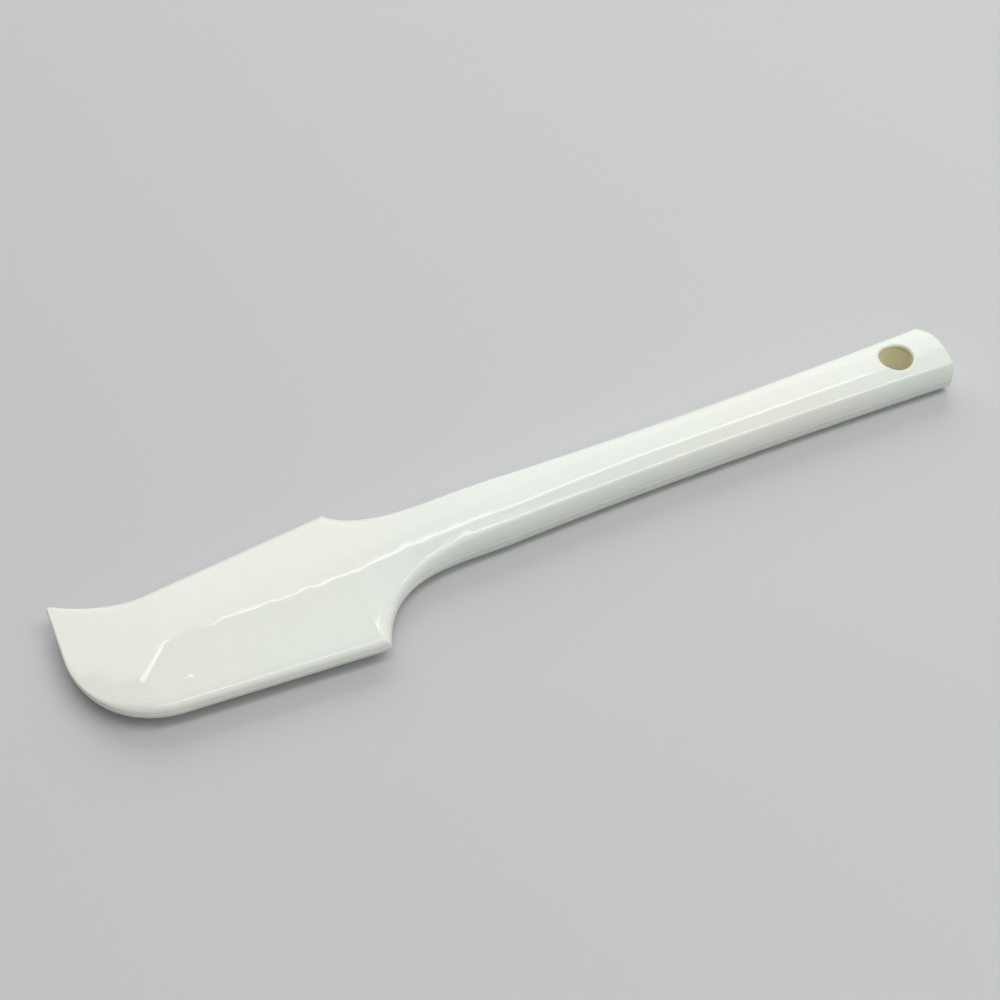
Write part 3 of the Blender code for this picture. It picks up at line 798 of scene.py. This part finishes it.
def noise(tree, place, scale, detail):
    """Value of soft noise at a place."""
    node = add_node(tree, 'ShaderNodeTexNoise', {'Vector': place, 'Scale': scale, 'Detail': detail})
    return node.outputs['Fac']


def maths(tree, operation, *values):
    """Result of a Math node on sockets or numbers."""
    return add_node(tree, 'ShaderNodeMath', dict(enumerate(values)), operation=operation).outputs[0]


def moulded_tone_group():
    """Faint clouds in a moulded plastic: two colours mixed by soft noise in the object's own space.

    The second colour also comes in along X, from none at one place to an even share at another.
    """
    tree, start, end = new_group(
        "moulded_tone",
        [("Colour", 'Color', (1, 1, 1, 1)), ("Cloud", 'Color', (1, 1, 1, 1)), ("Scale", 'Float', 30.0),
         ("Fade From", 'Float', 0.0), ("Fade To", 'Float', -1.0)],
        [("Colour", 'Color')])
    place = object_space(tree)
    clouds = add_node(tree, 'ShaderNodeMapRange',
                      {'Value': noise(tree, place, start.outputs['Scale'], 3.0), 'From Min': 0.35,
                       'From Max': 0.65, 'To Max': 0.5})
    axes = add_node(tree, 'ShaderNodeSeparateXYZ', {'Vector': place})
    fade = add_node(tree, 'ShaderNodeMapRange',
                    {'Value': axes.outputs['X'], 'From Min': start.outputs['Fade From'],
                     'From Max': start.outputs['Fade To'], 'To Max': 0.5})
    weight = maths(tree, 'ADD', clouds.outputs['Result'], fade.outputs['Result'])
    mixed = mixed_colour(tree, weight, start.outputs['Colour'], start.outputs['Cloud'])
    tree.links.new(mixed, end.inputs['Colour'])
    return tree


def moulded_surface_group():
    """Gloss and fine relief of a moulded surface: roughness from soft noise, and height from fine noise."""
    tree, start, end = new_group(
        "moulded_surface",
        [("Roughness", 'Float', 0.2), ("Variation", 'Float', 0.05), ("Relief Scale", 'Float', 900.0)],
        [("Roughness", 'Float'), ("Height", 'Float')])
    place = object_space(tree)
    centred = maths(tree, 'SUBTRACT', noise(tree, place, 120.0, 4.0), 0.5)
    varied = maths(tree, 'MULTIPLY', centred, start.outputs['Variation'])
    tree.links.new(maths(tree, 'ADD', varied, start.outputs['Roughness']), end.inputs['Roughness'])
    tree.links.new(noise(tree, place, start.outputs['Relief Scale'], 2.0), end.inputs['Height'])
    return tree


def place_group(tree, name, maker, values):
    """Place a shared node group in a material, making the group on its first use."""
    return add_node(tree, 'ShaderNodeGroup', values, node_tree=bpy.data.node_groups.get(name) or maker())


def new_material(name, values):
    """A material and its shader, with the values of some of the shader's inputs."""
    material = bpy.data.materials.new(name)
    material.use_nodes = True
    shader = material.node_tree.nodes["Principled BSDF"]
    for socket, value in values.items():
        shader.inputs[socket].default_value = value
    return material, shader


def moulded_material(name, tone, surface, relief_depth, values):
    """A material with clouded colour, varied gloss and fine relief, and its shader for further links."""
    material, shader = new_material(name, values)
    tree = material.node_tree
    clouds = place_group(tree, "moulded_tone", moulded_tone_group, tone)
    finish = place_group(tree, "moulded_surface", moulded_surface_group, surface)
    bump = add_node(tree, 'ShaderNodeBump',
                    {'Height': finish.outputs['Height'], 'Strength': 1.0, 'Distance': relief_depth})
    tree.links.new(clouds.outputs['Colour'], shader.inputs['Base Color'])
    tree.links.new(finish.outputs['Roughness'], shader.inputs['Roughness'])
    tree.links.new(bump.outputs['Normal'], shader.inputs['Normal'])
    return material, shader


def silicone_material(finish, handle, hole_axis):
    """Polished white silicone: slightly translucent, with a low refractive index.

    Over the rounding of the hole's rim and down its throat its colour turns to the nylon's beige: partly the
    nylon seen through thin silicone, partly painted warm shade inside the hole. The colours are mixed by a
    smooth cubic of the distance from the hole's axis.
    """
    material, shader = moulded_material(
        "white_silicone",
        {"Colour": (*finish.silicone, 1.0), "Cloud": (*finish.silicone_cloud, 1.0), "Scale": 22.0,
         "Fade From": 0.0, "Fade To": -110.0 * MM},
        {"Roughness": finish.silicone_gloss, "Variation": 0.05, "Relief Scale": 700.0},
        0.0004 * MM,
        {'IOR': 1.43, 'Subsurface Weight': 0.15, 'Subsurface Radius': (1.0, 0.85, 0.6),
         'Subsurface Scale': 1.2 * MM})
    tree = material.node_tree
    plan = add_node(tree, 'ShaderNodeVectorMath', {0: object_space(tree), 1: (1.0, 1.0, 0.0)},
                    operation='MULTIPLY')
    distance = add_node(tree, 'ShaderNodeVectorMath', {0: plan.outputs[0], 1: (*hole_axis[:2], 0.0)},
                        operation='DISTANCE')
    # Painted warm shade inside the hole, together with the nylon seen through thin silicone: the silicone's
    # colour turns to the nylon's beige towards the hole's axis.
    tint_from = handle.hole_radius + TINT_SHARE * handle.hole_rim
    beige_tint = add_node(tree, 'ShaderNodeMapRange',
                    {'Value': distance.outputs['Value'], 'From Min': tint_from,
                     'From Max': handle.hole_radius, 'To Max': 0.9}, interpolation_type='SMOOTHSTEP')
    nylon_tint = add_node(tree, 'ShaderNodeRGB')
    nylon_tint.outputs[0].default_value = (*finish.nylon, 1.0)
    base = shader.inputs['Base Color']
    mixed = mixed_colour(tree, beige_tint.outputs['Result'], base.links[0].from_socket, nylon_tint.outputs[0])
    tree.links.new(mixed, base)
    return material


def nylon_material(finish):
    """Natural nylon: a warm beige with a satin, slightly grained surface."""
    material, _ = moulded_material(
        "natural_nylon",
        {"Colour": (*finish.nylon, 1.0), "Cloud": (*finish.nylon_cloud, 1.0), "Scale": 90.0},
        {"Roughness": finish.nylon_gloss, "Variation": 0.15, "Relief Scale": 1400.0},
        0.01 * MM,
        {'IOR': 1.53})
    return material


def floor_material(stage):
    """Plain matt floor."""
    material, _ = new_material(
        "floor_paint", {'Base Color': (*stage.floor, 1.0), 'Roughness': 0.9, 'Specular IOR Level': 0.1})
    return material


def dress(thing, material):
    """Give an object one material on all its faces."""
    thing.data.materials.clear()
    thing.data.materials.append(material)


def row_place(context):
    """Row place of the mould frame's origin: tip edge, centre line and parting plane.

    The centre line is the middle of the CAD skin's width along the straight part of its handle.
    """
    handle = context.scene.spatula_handle
    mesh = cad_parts[SKIN_NODE].data
    corners = np.empty(3 * len(mesh.vertices), np.float32)
    mesh.vertices.foreach_get("co", corners)
    x, y, _ = corners.reshape(-1, 3).T
    along = (x > BOX_LOW[0] + handle.start_x) & (x < BOX_HIGH[0] - handle.end_far_length)
    middle = 0.5 * float(y[along].min() + y[along].max())
    return np.array([BOX_LOW[0], middle, 0.5 * (BOX_LOW[2] + BOX_HIGH[2])])


class SPATULA_OT_silicone_skin(Operator):
    """Build the white skin and leave the core's room in it"""
    bl_idname = "spatula.silicone_skin"
    bl_label = "Silicone Skin"

    def execute(self, context):
        scene = context.scene
        handle = scene.spatula_handle
        points, quads, triangles = skin_arrays(scene.spatula_blade, handle, scene.spatula_section,
                                               scene.spatula_fineness)
        origin = row_place(context)
        skin = link("skin_moulding", make_mesh("skin_moulding", points + origin, quads, triangles))
        core = merged_copy(CORE_NODE, "core_room")
        cut = skin.modifiers.new("core_room", 'BOOLEAN')
        cut.operation = 'DIFFERENCE'
        cut.solver = 'EXACT'
        cut.object = core
        apply_modifiers(skin)
        bpy.data.objects.remove(core, do_unlink=True)
        if len(skin.data.polygons) <= len(quads):
            raise RuntimeError("the core's room wasn't cut from the skin")
        skin.data.shade_smooth()
        skin.data.set_sharp_from_angle(angle=SHARP_ANGLE)
        hole_axis = origin + (LENGTH - handle.hole_from_end, 0.0, 0.0)
        dress(skin, silicone_material(scene.spatula_finish, handle, hole_axis))
        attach(skin, BODY)
        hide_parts(SKIN_NODE)
        return {'FINISHED'}


class SPATULA_OT_nylon_core(Operator):
    """Finish the nylon core, whose collar shows in the hanging hole"""
    bl_idname = "spatula.nylon_core"
    bl_label = "Nylon Core"

    def execute(self, context):
        dress(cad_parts[CORE_NODE], nylon_material(context.scene.spatula_finish))
        return {'FINISHED'}


def add_floor(stage):
    """Square floor in the plane z = 0, as two by two quads."""
    half = 0.5 * stage.floor_size
    side = np.linspace(-half, half, 3)
    x, y = np.meshgrid(side, side, indexing='ij')
    points = np.stack([x, y, np.zeros_like(x)], axis=-1).reshape(-1, 3)
    quads = sheet_quads(np.arange(9).reshape(3, 3))[:, ::-1]
    floor = link("floor", make_mesh("floor", points, quads, np.zeros((0, 3), int)))
    dress(floor, floor_material(stage))


def add_camera(context, stage):
    """Camera at a distance from its target, in the direction that its azimuth and elevation give."""
    target = Vector(row_place(context)) + Vector((*stage.target, 0.0))
    away = Vector((math.sin(stage.azimuth) * math.cos(stage.elevation),
                   -math.cos(stage.azimuth) * math.cos(stage.elevation), math.sin(stage.elevation)))
    lens = bpy.data.cameras.new("camera")
    lens.sensor_fit = 'HORIZONTAL'
    lens.angle = stage.lens_angle
    camera = link("camera", lens)
    camera.location = target + stage.distance * away
    camera.rotation_euler = (-away).to_track_quat('-Z', 'Y').to_euler()
    context.scene.camera = camera


def ceiling_light(name, angle, distance, middle_x, length_x, spread, radiance):
    """A light of CEILING_LIGHTS, whose power is the radiance times pi times the light's area."""
    light = bpy.data.lights.new(name, 'AREA')
    light.shape = 'RECTANGLE'
    light.size = length_x
    light.size_y = 2.0 * distance * math.tan(math.radians(0.5 * spread))
    light.energy = radiance * math.pi * light.size * light.size_y
    lamp = link(name, light)
    tilt = math.radians(angle)
    lamp.location = (middle_x, distance * math.sin(tilt), distance * math.cos(tilt))
    lamp.rotation_euler = (Vector((middle_x, 0.0, 0.0)) - lamp.location).to_track_quat('-Z', 'Y').to_euler()


def light_world(scene):
    """Faint even light from all round."""
    world = scene.world or bpy.data.worlds.new("studio")
    scene.world = world
    world.use_nodes = True
    sky = world.node_tree.nodes["Background"]
    sky.inputs['Color'].default_value = (0.98, 0.99, 1.0, 1.0)
    sky.inputs['Strength'].default_value = 0.12


class SPATULA_OT_stage(Operator):
    """Set the camera, the soft lights and the pale floor"""
    bl_idname = "spatula.stage"
    bl_label = "Stage"

    def execute(self, context):
        scene = context.scene
        stage = scene.spatula_stage
        add_floor(stage)
        add_camera(context, stage)
        for name, values in CEILING_LIGHTS.items():
            ceiling_light(name, *values)
        light_world(scene)
        scene.view_settings.view_transform = 'Standard'
        return {'FINISHED'}


class SPATULA_PT_panel(Panel):
    """Settings and steps of the spatula"""
    bl_idname = "SPATULA_PT_panel"
    bl_label = "Pastry Spatula"
    bl_space_type = 'VIEW_3D'
    bl_region_type = 'UI'
    bl_category = "Spatula"

    def draw(self, context):
        layout = self.layout
        for name in SETTINGS:
            box = layout.box()
            box.label(text=name.removeprefix("spatula_").capitalize())
            settings = getattr(context.scene, name)
            for setting in type(settings).__annotations__:
                box.prop(settings, setting)
        for step in STEPS:
            layout.operator(step.bl_idname)


STEPS = (SPATULA_OT_silicone_skin, SPATULA_OT_nylon_core, SPATULA_OT_stage)
SETTINGS = {
    "spatula_blade": SpatulaBlade,
    "spatula_handle": SpatulaHandle,
    "spatula_section": SpatulaSection,
    "spatula_fineness": SpatulaFineness,
    "spatula_finish": SpatulaFinish,
    "spatula_stage": SpatulaStage,
}


def register():
    """Register the classes, with each setting labelled by its attribute's name."""
    for kind in SETTINGS.values():
        for attribute, setting in kind.__annotations__.items():
            setting.keywords["name"] = attribute.replace("_", " ").title()
    for kind in (*SETTINGS.values(), *STEPS, SPATULA_PT_panel):
        bpy.utils.register_class(kind)
    for name, kind in SETTINGS.items():
        setattr(bpy.types.Scene, name, PointerProperty(type=kind))


def unregister():
    for name in SETTINGS:
        delattr(bpy.types.Scene, name)
    for kind in reversed((*SETTINGS.values(), *STEPS, SPATULA_PT_panel)):
        bpy.utils.unregister_class(kind)


def main():
    register()
    bpy.ops.spatula.silicone_skin()
    bpy.ops.spatula.nylon_core()
    bpy.ops.spatula.stage()


if __name__ == "__main__":
    main()
